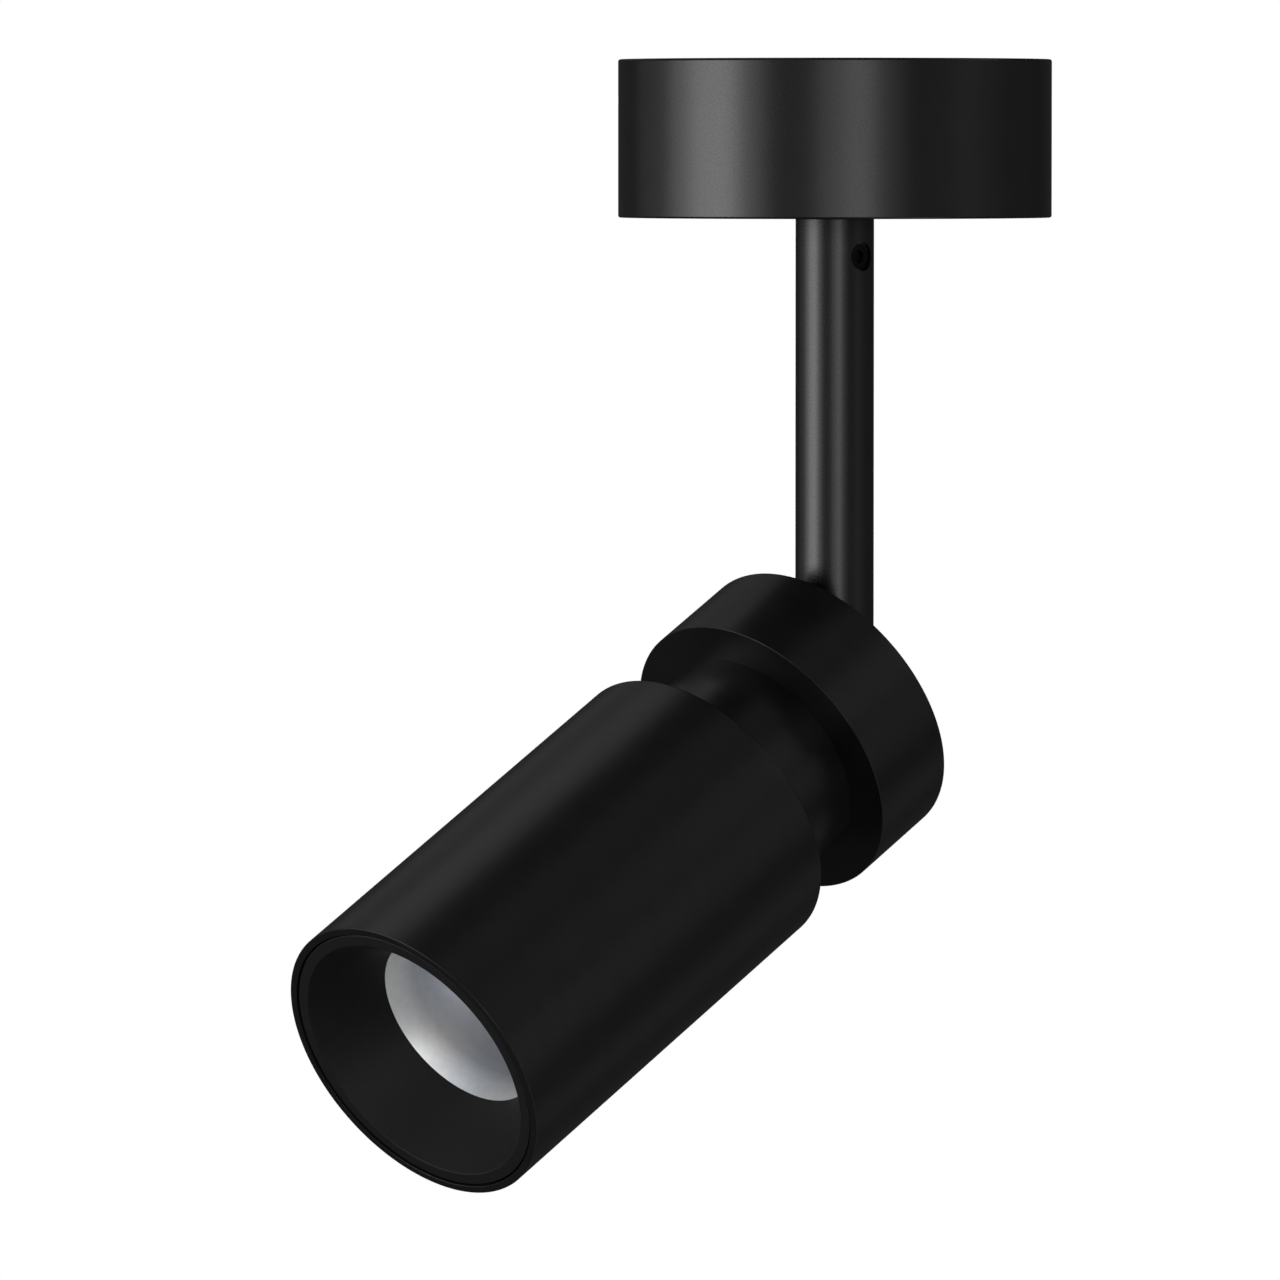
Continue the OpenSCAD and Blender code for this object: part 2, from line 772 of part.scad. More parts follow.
// Hinge plate: a disc that seats in the ring's dish, with two ears that take the pivot screws
module hinge_plate() {
    sunk_r = sunk_head_share * screw_d / 2 + thread_clear;
    color(matte_black)
    at_head()
    difference() {
        union() {
            sleeve(hinge_plate_r, grommet_hole_r, dish_floor, hinge_plate_front);
            for (x = [-ear_outer_x, ear_inner_x]) translate([x, 0, 0]) hinge_ear();
        }
        rotate([0, 90, 0]) cylinder(r = pivot_r + running_clear, h = 3 * ear_outer_x, center = true);
        at_assembly_screws() translate([0, 0, dish_floor - over]) {
            screw_hole(hinge_plate_t + 2 * over);
            cylinder(r1 = sunk_r + over, r2 = screw_d / 2, h = sunk_r - screw_d / 2 + over);
        }
    }
}

// An ear: a round end on the tilt axis, parallel sides and a foot that flares in two round corners
module hinge_ear() {
    foot = dish_floor + hinge_plate_t / 2;
    root = dish_floor - hinge_root_r;
    flare = eye_r + hinge_root_r;
    rotate([90, 0, 90])
    linear_extrude(hinge_ear_t) {
        circle(r = eye_r);
        translate([-eye_r, 0]) square([eye_d, foot]);
        difference() {
            translate([-flare, root]) square([2 * flare, foot - root]);
            for (y = [-1, 1]) translate([y * flare, root]) circle(r = hinge_root_r);
        }
    }
}

module at_assembly_screws() {
    for (turn = assembly_angles) rotate([0, 0, turn]) translate([assembly_screw_r, 0, 0]) children();
}

// Rubber bush where the wires go through the hinge plate
module wire_grommet() {
    body_r = grommet_hole_r - thread_clear;
    color([0.12, 0.12, 0.12])
    at_head()
    rotate_extrude()
        polygon([
            [grommet_bore_r, dish_floor - grommet_lip_t],
            [grommet_lip_r - grommet_lip_t / 2, dish_floor - grommet_lip_t],
            [grommet_lip_r, dish_floor - grommet_lip_t / 2],
            [grommet_lip_r, dish_floor],
            [body_r, dish_floor],
            [body_r, hinge_plate_front],
            [grommet_lip_r, hinge_plate_front],
            [grommet_lip_r, hinge_plate_front + grommet_lip_t],
            [grommet_bore_r, hinge_plate_front + grommet_lip_t]
        ]);
}

// Three long screws that clamp the plate, ring, neck and barrel to the heat sink's flange
module assembly_screws() {
    grip = fin_rear - dish_floor;
    color([0.2, 0.2, 0.2])
    at_head()
    at_assembly_screws()
        translate([0, 0, dish_floor]) rotate([180, 0, 0]) sunk_screw(screw_d, grip);
}

// Rear housing: the short ring with a dish behind, and a bore that the neck's spigot fits
module rear_housing() {
    color(matte_black)
    at_head()
    rotate_extrude()
        polygon([
            [ring_bore_r, hinge_plate_front],
            [dish_r, hinge_plate_front],
            [dish_r, ring_setback + edge_chamfer],
            [dish_r + edge_chamfer, ring_setback],
            [head_r - edge_chamfer, ring_setback],
            [head_r, ring_setback + edge_chamfer],
            [head_r, ring_front - edge_chamfer],
            [head_r - edge_chamfer, ring_front],
            [ring_bore_r, ring_front]
        ]);
}

// Neck: a turned spacer with a spigot at each end and a bore for the wires
module neck() {
    front_spigot = barrel_floor - loose_gap;
    color(matte_black)
    at_head()
    difference() {
        rotate_extrude()
            polygon([
                [neck_bore_r, ring_front - neck_spigot_l],
                [neck_spigot_r, ring_front - neck_spigot_l],
                [neck_spigot_r, ring_front],
                [neck_d / 2, ring_front],
                [neck_d / 2, barrel_rear],
                [neck_spigot_r, barrel_rear],
                [neck_spigot_r, barrel_rear + front_spigot],
                [neck_bore_r, barrel_rear + front_spigot]
            ]);
        at_assembly_screws()
            translate([0, 0, ring_front - neck_spigot_l - over])
                screw_hole(neck_gap + neck_spigot_l + barrel_floor + 2 * over);
    }
}

// Barrel: a turned cup with a rear wall, and a wider, thinner mouth that the optics drop into
module barrel() {
    color(matte_black)
    at_head()
    rotate_extrude()
        polygon([
            [ring_bore_r, barrel_rear],
            [head_r - edge_chamfer, barrel_rear],
            [head_r, barrel_rear + edge_chamfer],
            [head_r, barrel_front - edge_chamfer / 2],
            [head_r - edge_chamfer / 2, barrel_front],
            [mouth_bore_r + edge_chamfer / 2, barrel_front],
            [mouth_bore_r, barrel_front - edge_chamfer / 2],
            [mouth_bore_r, retainer_rear],
            [barrel_bore_r, retainer_rear],
            [barrel_bore_r, sink_rear],
            [ring_bore_r, sink_rear]
        ]);
}

// Heat sink: a flange, a core with straight fins, and a seat for the light-emitting board
module heat_sink() {
    color(raw_aluminium)
    at_head()
    difference() {
        union() {
            translate([0, 0, sink_rear]) cylinder(r = sink_r, h = sink_flange_t);
            translate([0, 0, sink_rear]) cylinder(d = sink_core_d, h = seat_front - sink_rear);
            translate([0, 0, seat_rear]) cylinder(r = sink_r, h = sink_flange_t);
            for (i = [0:fin_count - 1]) rotate([0, 0, 90 + (i + 1 / 2) * 360 / fin_count]) sink_fin();
        }
        for (radius = wire_radii) translate([0, radius, sink_rear - over]) {
            cylinder(r = wire_channel_w / 2, h = seat_front - sink_rear + 2 * over);
        }
        at_assembly_screws() translate([0, 0, sink_rear - over]) screw_hole(sink_flange_t + 2 * over);
        at_holder_screws() translate([0, 0, seat_rear - over]) screw_hole(sink_flange_t + 2 * over);
    }
}

module at_holder_screws() {
    for (x = [-1, 1]) translate([x * holder_spacing / 2, 0, 0]) children();
}

module sink_fin() {
    start = sink_core_d / 4;
    translate([start, -fin_t / 2, sink_rear + sink_flange_t / 2])
        cube([sink_r - start - loose_gap, fin_t, seat_rear - sink_rear]);
}

module thermal_pad() {
    color([0.75, 0.78, 0.82])
    at_head()
        translate([-board_w / 2, -board_w / 2, seat_front]) cube([board_w, board_w, pad_t]);
}

module cob_board() {
    color([0.93, 0.93, 0.9])
    at_head()
        translate([-board_w / 2, -board_w / 2, seat_front + pad_t]) cube([board_w, board_w, board_t]);
}

module cob_phosphor() {
    color([0.95, 0.8, 0.3])
    at_head()
        translate([0, 0, board_front]) cylinder(d = emitter_d, h = emitter_t);
}

// Holder: a round moulding over the board, hollow below, with a flared window for the reflector
module cob_holder() {
    lip_top = board_front + holder_lip;
    window_r = throat_r + reflector_wall + 2 * loose_gap;
    window_h = seat_front + holder_h - lip_top;
    window_top_r = window_r + window_flare_share * window_h;
    color([0.9, 0.9, 0.88])
    at_head()
    difference() {
        translate([0, 0, seat_front]) {
            cylinder(d = holder_d, h = holder_h);
            at_holder_screws() cylinder(r = holder_boss_r, h = holder_h);
        }
        translate([-holder_pocket_w / 2, -holder_pocket_w / 2, seat_front - over])
            cube([holder_pocket_w, holder_pocket_w, over + pad_t + board_t + side_gap]);
        translate([0, 0, seat_front]) cylinder(r = window_r, h = lip_top - seat_front + side_gap);
        translate([0, 0, lip_top]) cylinder(r1 = window_r, r2 = window_top_r, h = window_h);
        translate([-wire_channel_w / 2, 0, seat_front - over])
            cube([wire_channel_w, wire_radii[1] + wire_d, over + pad_t + board_t + side_gap]);
        at_holder_screws() translate([0, 0, seat_front - over]) screw_hole(holder_h + 2 * over);
    }
}

module cob_holder_screws() {
    color(steel)
    at_head()
    at_holder_screws()
        translate([0, 0, seat_front + holder_h]) pan_screw(screw_d, holder_h + holder_screw_grip);
}

// Two wires, from the hinge plate's bush out past the core and along the fins to the board
function wire_path(offset, radius) = concat(
    [[0, offset, wire_start]],
    [
        for (i = [0:wire_rings])
            let (share = i / wire_rings)
            [
                0,
                offset + (radius - offset) * (1 - cos(180 * share)) / 2,
                wire_bend_start + (wire_bend_end - wire_bend_start) * share
            ]
    ],
    [[0, radius, wire_end]]
);

module head_leads() {
    color([0.75, 0.1, 0.08])
    at_head() {
        swept_wire(wire_path(-wire_start_offset, wire_radii[0]), [1, 0, 0], wire_d / 2);
        swept_wire(wire_path(wire_start_offset, wire_radii[1]), [1, 0, 0], wire_d / 2);
    }
}

// Reflector: a bowl that opens fast at the throat and slowly towards its rim, with a flat flange
function bowl_r(share) = throat_r + (reflector_mouth_r - throat_r) * pow(share, bowl_power);

function bowl_point(share, offset) = [bowl_r(share) + offset, throat_s + share * (cone_end - throat_s)];

module reflector() {
    flange_share = 1 - reflector_flange_t / (cone_end - throat_s);
    inside = [for (i = [0:bowl_steps]) bowl_point(pow(i / bowl_steps, 2), 0)];
    outside = [
        for (i = [bowl_steps:-1:0]) bowl_point(flange_share * pow(i / bowl_steps, 2), reflector_wall)
    ];
    color([0.85, 0.87, 0.9])
    at_head()
    rotate_extrude()
        polygon(concat(
            inside,
            [[reflector_flange_r, cone_end], [reflector_flange_r, retainer_front]],
            outside
        ));
}

// Retaining ring: it rests on the step in the barrel's bore and carries the reflector's flange
module reflector_ring() {
    inner = reflector_mouth_r + reflector_wall + loose_gap;
    color(matte_black)
    at_head()
        sleeve(mouth_bore_r - thread_clear, inner, retainer_rear, retainer_front);
}

// Anti-glare cone: a lip behind the barrel's rim, a cone down to the reflector and a skirt in the bore
module baffle() {
    lip = barrel_front - lip_recess;
    mouth_r = cone_mouth_d / 2;
    end_r = cone_end_d / 2;
    slope = (mouth_r - end_r) / (lip - cone_end);
    back = cone_wall * sqrt(1 + slope * slope);
    skirt_r = mouth_bore_r - skirt_gap;
    land_r = mouth_bore_r - running_clear;
    color([0.05, 0.05, 0.05])
    at_head()
    rotate_extrude()
        polygon([
            [end_r, cone_end],
            [mouth_r, lip],
            [skirt_r, lip],
            [skirt_r, cone_end + skirt_land],
            [land_r, cone_end + skirt_land],
            [land_r, retainer_front + skirt_gap],
            [land_r - skirt_t, retainer_front + skirt_gap],
            [land_r - skirt_t, lip - lip_t],
            [end_r + back + slope * (lip - lip_t - cone_end), lip - lip_t],
            [end_r + back, cone_end]
        ]);
}

canopy_cover();
cover_screws();
mounting_plate();
cable_grommet();
earth_screw();
driver_case();
driver_lid();
driver_screws();
terminal_block();
terminal_screws();
mains_leads();
swivel_spigot();
spigot_washer();
spigot_nut();
stem_tube();
stem_collar();
set_screw();
stem_cable();
knuckle();
knuckle_screw();
friction_washers();
spring_washers();
pivot_screws();
hinge_plate();
wire_grommet();
assembly_screws();
rear_housing();
neck();
barrel();
heat_sink();
thermal_pad();
cob_board();
cob_phosphor();
cob_holder();
cob_holder_screws();
head_leads();
reflector();
reflector_ring();
baffle();
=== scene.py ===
import math

import bmesh
import bpy
import numpy as np
from mathutils import Matrix, Vector


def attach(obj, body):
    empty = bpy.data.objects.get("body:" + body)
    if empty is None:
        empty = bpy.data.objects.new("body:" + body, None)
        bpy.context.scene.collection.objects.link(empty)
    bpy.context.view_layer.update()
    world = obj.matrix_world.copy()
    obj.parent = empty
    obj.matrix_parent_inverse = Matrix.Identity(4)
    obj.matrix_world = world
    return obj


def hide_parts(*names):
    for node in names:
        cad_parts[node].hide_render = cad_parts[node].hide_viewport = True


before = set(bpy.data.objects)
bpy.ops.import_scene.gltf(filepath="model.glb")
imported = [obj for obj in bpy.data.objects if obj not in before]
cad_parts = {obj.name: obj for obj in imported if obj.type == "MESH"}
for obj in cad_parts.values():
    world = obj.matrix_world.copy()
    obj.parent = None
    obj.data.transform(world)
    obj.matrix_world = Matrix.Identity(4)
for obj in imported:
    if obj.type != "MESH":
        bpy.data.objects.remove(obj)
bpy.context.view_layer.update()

# Camera. A long lens stands 2.1 m away, level with the canopy and in front of the light's open end,
# a little to the right of its beam. It looks slightly down.
scene = bpy.context.scene
look_turn, look_dip = math.radians(1.0516), math.radians(2.7080)
view_away = Vector((-0.70052, 0.71363, 0.0))
view_right = Vector((0.71363, 0.70052, 0.0))
straight_up = Vector((0.0, 0.0, 1.0))
canopy_middle = Vector((0.0, 0.0, -0.0155))
camera_far, lens_mm, sensor_mm, nearest, farthest = 2.0817, 298.26, 36.0, 0.05, 60.0
level_look = math.cos(look_turn) * view_away - math.sin(look_turn) * view_right
look = math.cos(look_dip) * level_look - math.sin(look_dip) * straight_up
side = math.cos(look_turn) * view_right + math.sin(look_turn) * view_away
over = side.cross(look)
camera = bpy.data.objects.new("camera", bpy.data.cameras.new("camera"))
camera.data.lens = lens_mm
camera.data.sensor_width = sensor_mm
camera.data.clip_start = nearest
camera.data.clip_end = farthest
camera.matrix_world = Matrix.Translation(canopy_middle - camera_far * view_away) @ Matrix(
    (side, over, -look)).transposed().to_4x4()
scene.collection.objects.link(camera)
scene.camera = camera
scene.view_settings.view_transform = "Standard"

# Room. A plain white studio to the camera. What the pieces mirror is a dark room with a faint even fill, as
# black cards would make it, and soft boxes of light stand in it.
white, room_fill = 1.0, 0.05
world = bpy.data.worlds.new("studio")
scene.world = world
world.use_nodes = True
sky = world.node_tree
sky.nodes.clear()
seen, mirrored, pick, rays, out = (sky.nodes.new(kind) for kind in (
    "ShaderNodeBackground", "ShaderNodeBackground", "ShaderNodeMixShader", "ShaderNodeLightPath",
    "ShaderNodeOutputWorld"))
seen.inputs["Color"].default_value = (white, white, white, 1)
mirrored.inputs["Strength"].default_value = room_fill
sky.links.new(rays.outputs["Is Camera Ray"], pick.inputs["Fac"])
sky.links.new(mirrored.outputs[0], pick.inputs[1])
sky.links.new(seen.outputs[0], pick.inputs[2])
sky.links.new(pick.outputs[0], out.inputs["Surface"])

# Soft boxes. A ring of narrow boxes at the light's own height makes two soft peaks on every round piece, one
# on the left and one near the camera. Wider boxes light the tops, and small ones below reach into the cone.
plain_light, light_middle = (1, 1, 1), (0.0, -0.05, -0.09)


def soft_box(name, turn, rise, far, width, height, watts, tint=plain_light, middle=light_middle):
    """A soft box that faces a point of the model. It stands the given turn to the right of the camera, and
    rises above the level by the given angle."""
    lamp = bpy.data.lights.new(name, "AREA")
    lamp.shape, lamp.size, lamp.size_y, lamp.energy, lamp.color = "RECTANGLE", width, height, watts, tint
    lamp_object = bpy.data.objects.new(name, lamp)
    turn, rise = math.radians(turn), math.radians(rise)
    way = math.cos(rise) * (math.sin(turn) * view_right - math.cos(turn) * view_away)
    way = way + math.sin(rise) * straight_up
    lamp_object.matrix_world = Matrix.Translation(
        Vector(middle) + far * way) @ way.to_track_quat("Z", "Y").to_matrix().to_4x4()
    lamp_object.visible_camera = False
    scene.collection.objects.link(lamp_object)
    return lamp_object


box_far, ring_box_width, ring_box_height, high_box_width, high_box_height = 1.5, 0.40, 0.62, 0.75, 0.72
for turn, watts in (
        (-120, 0.16), (-105, 0.25), (-90, 1.32), (-75, 3.23), (-60, 3.84), (-45, 1.24), (-30, 0.17),
        (-15, 0.20), (0, 1.09), (15, 1.96), (30, 0.46), (45, 0.09), (60, 0.15), (75, 0.23), (90, 0.12),
        (105, 0.05), (120, 0.03)):
    soft_box(f"ring_box_{turn}", turn, 0, box_far, ring_box_width, ring_box_height, watts)
for turn, rise, watts in (
        (62, 32, 0.17), (92, 32, 0.91), (-150, 32, 0.25), (45, 62, 0.35), (-45, 62, 1.04), (-135, 62, 0.90)):
    soft_box(f"high_box_{turn}", turn, rise, box_far, high_box_width, high_box_height, watts)
for turn, rise, far, width, watts in (
        (30, -28, 0.55, 0.2, 0.024), (60, -28, 0.55, 0.2, 0.126), (120, -28, 0.55, 0.2, 0.011),
        (60, -50, 0.40, 0.2, 0.053), (75, -75, 0.30, 0.3, 0.032)):
    soft_box(f"low_box_{turn}_{-rise}", turn, rise, far, width, width, watts)

# Boxes for the reflector. Four small boxes in front of the mouth light the silver reflector alone. Two are
# slightly blue and two slightly warm, so that the satin metal isn't one even grey.
reflector_only = bpy.data.collections.new("reflector_only")
bowl_box_far, bowl_box_width, mouth_middle = 0.9, 0.2, (0.0, -0.10, -0.19)
warm = (1.0, 0.90, 0.80)
for turn, rise, watts, tint in (
        (-30, 35, 3.00, (0.66, 0.81, 1.0)), (15, 15, 5.40, (0.76, 0.88, 1.0)), (-15, 35, 0.60, warm),
        (0, 15, 2.00, warm)):
    bowl_box = soft_box(
        f"bowl_box_{turn}", turn, rise, bowl_box_far, bowl_box_width, bowl_box_width, watts, tint, mouth_middle)
    bowl_box.light_linking.receiver_collection = reflector_only

# Floor. A round sheet of pale paper far below the light. The camera sees it plainly pale, and to the pieces
# it is dark with a faint glow, as the room is.
floor_r, floor_level, floor_sides = 1.6, -0.45, 128
around_floor = np.linspace(0, 2 * np.pi, floor_sides, endpoint=False)
floor_mesh = bpy.data.meshes.new("floor")
floor_mesh.from_pydata(np.stack([
    floor_r * np.cos(around_floor), floor_r * np.sin(around_floor), np.full(floor_sides, floor_level)],
    1).tolist(), [], [list(range(floor_sides))])
floor = bpy.data.objects.new("floor", floor_mesh)
scene.collection.objects.link(floor)

MM = 0.001
noise_low, noise_high, cloud_detail = 0.3, 0.7, 2.0


def grain(tree, size, lay=(1, 1, 1), turn=0.0, detail=3.0):
    """Noise over the piece's own coordinates with cells of the given size in metres. Each axis is stretched by
    its share in lay, after a turn about the tilt axis."""
    place = tree.nodes.new("ShaderNodeTexCoord")
    mapping = tree.nodes.new("ShaderNodeMapping")
    noise = tree.nodes.new("ShaderNodeTexNoise")
    mapping.inputs["Rotation"].default_value = (turn, 0, 0)
    mapping.inputs["Scale"].default_value = [1 / share for share in lay]
    noise.inputs["Scale"].default_value = 1 / size
    noise.inputs["Detail"].default_value = detail
    tree.links.new(place.outputs["Object"], mapping.inputs["Vector"])
    tree.links.new(mapping.outputs["Vector"], noise.inputs["Vector"])
    return noise.outputs["Fac"]


def finish(name, tones, rough, cloud, pits, depth, lay=(1, 1, 1), turn=0.0, detail=3.0, **shader):
    """A finish whose colour runs between two tones over clouds of the given size, and whose roughness runs
    between two values over pits of their own size and depth. The rest is set on the shader by name."""
    material = bpy.data.materials.new(name)
    material.use_nodes = True
    tree = material.node_tree
    gloss = tree.nodes["Principled BSDF"]
    clouds = grain(tree, cloud, lay, turn, cloud_detail)
    colour = tree.nodes.new("ShaderNodeMix")
    colour.data_type = "RGBA"
    for socket, tone in zip(("A", "B"), tones):
        next(s for s in colour.inputs if s.name == socket and s.type == "RGBA").default_value = (*tone, 1)
    spread = tree.nodes.new("ShaderNodeMapRange")
    spread.inputs["From Min"].default_value, spread.inputs["From Max"].default_value = noise_low, noise_high
    tree.links.new(clouds, spread.inputs["Value"])
    tree.links.new(spread.outputs["Result"], colour.inputs["Factor"])
    tree.links.new(next(s for s in colour.outputs if s.type == "RGBA"), gloss.inputs["Base Color"])
    fine = grain(tree, pits, lay, turn, detail)
    dull = tree.nodes.new("ShaderNodeMapRange")
    dull.inputs["From Min"].default_value, dull.inputs["From Max"].default_value = noise_low, noise_high
    dull.inputs["To Min"].default_value, dull.inputs["To Max"].default_value = rough
    tree.links.new(fine, dull.inputs["Value"])
    tree.links.new(dull.outputs["Result"], gloss.inputs["Roughness"])
    bump = tree.nodes.new("ShaderNodeBump")
    bump.inputs["Distance"].default_value = depth
    tree.links.new(fine, bump.inputs["Height"])
    tree.links.new(bump.outputs["Normal"], gloss.inputs["Normal"])
    for socket, value in shader.items():
        gloss.inputs[socket.replace("_", " ")].default_value = value
    return material


floor_glow = 0.029
floor_paper = finish(
    "floor_paper", ((0.045, 0.045, 0.045), (0.055, 0.055, 0.054)), rough=(0.85, 0.95),
    cloud=0.2, pits=2 * MM, depth=0.05 * MM, Emission_Strength=floor_glow)
paper = floor_paper.node_tree
pale, paper_rays, paper_pick = (paper.nodes.new(kind) for kind in (
    "ShaderNodeEmission", "ShaderNodeLightPath", "ShaderNodeMixShader"))
pale.inputs["Color"].default_value = (0.94, 0.94, 0.93, 1)
paper.links.new(paper_rays.outputs["Is Camera Ray"], paper_pick.inputs["Fac"])
paper.links.new(paper.nodes["Principled BSDF"].outputs[0], paper_pick.inputs[1])
paper.links.new(pale.outputs[0], paper_pick.inputs[2])
paper.links.new(paper_pick.outputs[0], paper.nodes["Material Output"].inputs["Surface"])
floor_mesh.materials.append(floor_paper)


def dress(material, *nodes):
    """Puts a finish on pieces of the model."""
    for node in nodes:
        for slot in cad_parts[node].material_slots:
            slot.material = material


# Canopy cover. A cup spun from 1.6 mm steel sheet and powder coated in satin black. Its floor has the
# hole of the swivel, and two small screws go through its side into the plate's ears.
satin_black = finish(
    "satin_black", ((0.0070, 0.0070, 0.0075), (0.0095, 0.0095, 0.0100)), rough=(0.26, 0.30),
    cloud=6 * MM, pits=0.40 * MM, depth=0.00035 * MM, Specular_IOR_Level=0.5)
canopy_r, canopy_h, canopy_wall, canopy_floor = 42.5 * MM, 31 * MM, 1.6 * MM, 2 * MM
swivel_hole_r = 5.1 * MM
edge_r = 0.45 * MM


def eased(corners, ease, steps=6, run=4 * MM):
    """A closed outline of straight runs with round corners. At each corner the runs are cut back by
    ease x tan(half the turn), and an arc of radius ease that touches both takes the corner's place. Long runs
    get points in between."""
    corners = np.array(corners, float)
    ease = np.broadcast_to(np.array(ease, float), (len(corners),))[:, None]
    back, ahead = np.roll(corners, 1, 0) - corners, np.roll(corners, -1, 0) - corners
    back /= np.linalg.norm(back, axis=1)[:, None]
    ahead /= np.linalg.norm(ahead, axis=1)[:, None]
    turn = np.pi - np.arccos(np.clip((back * ahead).sum(1), -1, 1))[:, None]
    cut = ease * np.tan(turn / 2)
    middle = corners + (back + ahead) / np.linalg.norm(back + ahead, axis=1)[:, None] * ease / np.cos(turn / 2)
    first, last = (corners + back * cut - middle) / ease, (corners + ahead * cut - middle) / ease
    share = np.linspace(0, 1, steps + 1)[None, :, None]
    turn = turn[:, :, None]
    arcs = middle[:, None] + ease[:, None] * (
        np.sin((1 - share) * turn) * first[:, None] + np.sin(share * turn) * last[:, None]) / np.sin(turn)
    points = []
    for arc, following in zip(arcs, np.roll(arcs, -1, 0)):
        points.append(arc)
        count = int(np.linalg.norm(following[0] - arc[-1]) / run)
        points.append(np.linspace(arc[-1], following[0], count + 2)[1:-1])
    return np.concatenate(points)


def upright(points):
    """The canopy and the stem are drawn as they hang."""
    return points


def grid_mesh(name, points, place):
    """Joins a closed grid of points, whose rows and columns both end where they start, into four-sided faces,
    and puts each point in its place in the model."""
    rows, columns = points.shape[:2]
    i, j = np.meshgrid(np.arange(rows), np.arange(columns), indexing="ij")
    after, beside = (i + 1) % rows, (j + 1) % columns
    faces = np.stack([i * columns + j, after * columns + j, after * columns + beside, i * columns + beside], -1)
    mesh = bpy.data.meshes.new(name)
    mesh.from_pydata(place(points.reshape(-1, 3)).tolist(), [], faces.reshape(-1, 4).tolist())
    piece = bpy.data.objects.new(name, mesh)
    scene.collection.objects.link(piece)
    return piece


def turned(name, outline, place, around=192):
    """A closed outline of radii and heights, carried round an axis: a point at turn t is
    (radius x cos t, radius x sin t, height). The outline runs the way that turns the faces outwards."""
    t = np.linspace(0, 2 * np.pi, around, endpoint=False)[:, None]
    across, along = outline[:, 0], outline[:, 1]
    if (across * np.roll(along, -1) - np.roll(across, -1) * along).sum() > 0:
        across, along = across[::-1], along[::-1]
    return grid_mesh(name, np.stack([np.cos(t) * across, np.sin(t) * across, 0 * t + along], -1), place)


def drilled(piece, place, middle, way, radius, length):
    """Cuts a round hole of the given length, centred on a point in the piece's own drawing."""
    start, end = (
        Vector(place(np.array([np.array(middle) + sign * np.array(way) * length / 2]))[0]) for sign in (-1, 1))
    aim = (end - start).to_track_quat("Z", "Y").to_matrix().to_4x4()
    drill_mesh = bpy.data.meshes.new("drill")
    shape = bmesh.new()
    bmesh.ops.create_cone(
        shape, cap_ends=True, segments=64, radius1=radius, radius2=radius, depth=length,
        matrix=Matrix.Translation((start + end) / 2) @ aim)
    shape.to_mesh(drill_mesh)
    shape.free()
    drill = bpy.data.objects.new("drill", drill_mesh)
    scene.collection.objects.link(drill)
    cut = piece.modifiers.new("hole", "BOOLEAN")
    cut.object, cut.operation, cut.solver = drill, "DIFFERENCE", "EXACT"
    bpy.context.view_layer.update()
    piece.data = bpy.data.meshes.new_from_object(piece.evaluated_get(bpy.context.evaluated_depsgraph_get()))
    piece.modifiers.clear()
    bpy.data.objects.remove(drill)


sharp_from, flat_weight = math.radians(38), 80


def finished(piece, material, body, slot, *nodes):
    """Shades a piece so that flats stay flat and eased corners look round, gives it its finish and its body,
    and hides the parts of the model that it stands for."""
    piece.data.materials.clear()
    piece.data.materials.append(material)
    piece.data.shade_smooth()
    piece.data.set_sharp_from_angle(angle=sharp_from)
    flats = piece.modifiers.new("flats", "WEIGHTED_NORMAL")
    flats.keep_sharp = True
    flats.weight = flat_weight
    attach(piece, body)
    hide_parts(*nodes)


canopy_inner_r, canopy_floor_top = canopy_r - canopy_wall, canopy_floor - canopy_h
canopy_cup = turned("canopy_cup", eased([
    (swivel_hole_r, -canopy_h), (canopy_r, -canopy_h), (canopy_r, 0.0), (canopy_inner_r, 0.0),
    (canopy_inner_r, canopy_floor_top), (swivel_hole_r, canopy_floor_top)],
    [0.15 * MM, edge_r, 0.5 * MM, 0.3 * MM, 1.2 * MM, 0.15 * MM]), upright, around=256)
cover_screw_drop, cover_screw_turn, cover_hole_r = 8 * MM, math.radians(45), 1.55 * MM
side_drill = 8 * MM
for way in (1, -1):
    outward = np.array((math.cos(cover_screw_turn), math.sin(cover_screw_turn), 0.0)) * way
    drilled(
        canopy_cup, upright, outward * canopy_r - (0, 0, cover_screw_drop), outward, cover_hole_r, side_drill)
finished(canopy_cup, satin_black, "canopy", "satin_black", "canopy_cover")

# Cover screws. Two headless M3 screws of blackened steel, with a hexagon socket, just below the
# surface of the cover's side.
black_steel = finish(
    "black_steel", ((0.0025, 0.0025, 0.0028), (0.0045, 0.0043, 0.0042)), rough=(0.45, 0.60),
    cloud=0.8 * MM, pits=0.12 * MM, depth=0.003 * MM, Specular_IOR_Level=0.2)
dress(black_steel, "cover_screws")

# Mounting plate. Pressed from 1.5 mm steel and zinc plated, with two slots for the ceiling screws
# and two ears that the cover's screws go into.
zinc_steel = finish(
    "zinc_steel", ((0.60, 0.62, 0.65), (0.70, 0.72, 0.74)), rough=(0.38, 0.52),
    cloud=3 * MM, pits=0.35 * MM, depth=0.003 * MM, lay=(5, 1, 1), Metallic=1.0)
dress(zinc_steel, "mounting_plate")

# Cable grommet. A moulded rubber bush that clips into the plate, flush with the ceiling, and guards the
# supply cable.
black_rubber = finish(
    "black_rubber", ((0.020, 0.020, 0.020), (0.030, 0.030, 0.029)), rough=(0.62, 0.78),
    cloud=2 * MM, pits=0.25 * MM, depth=0.010 * MM)
dress(black_rubber, "cable_grommet")

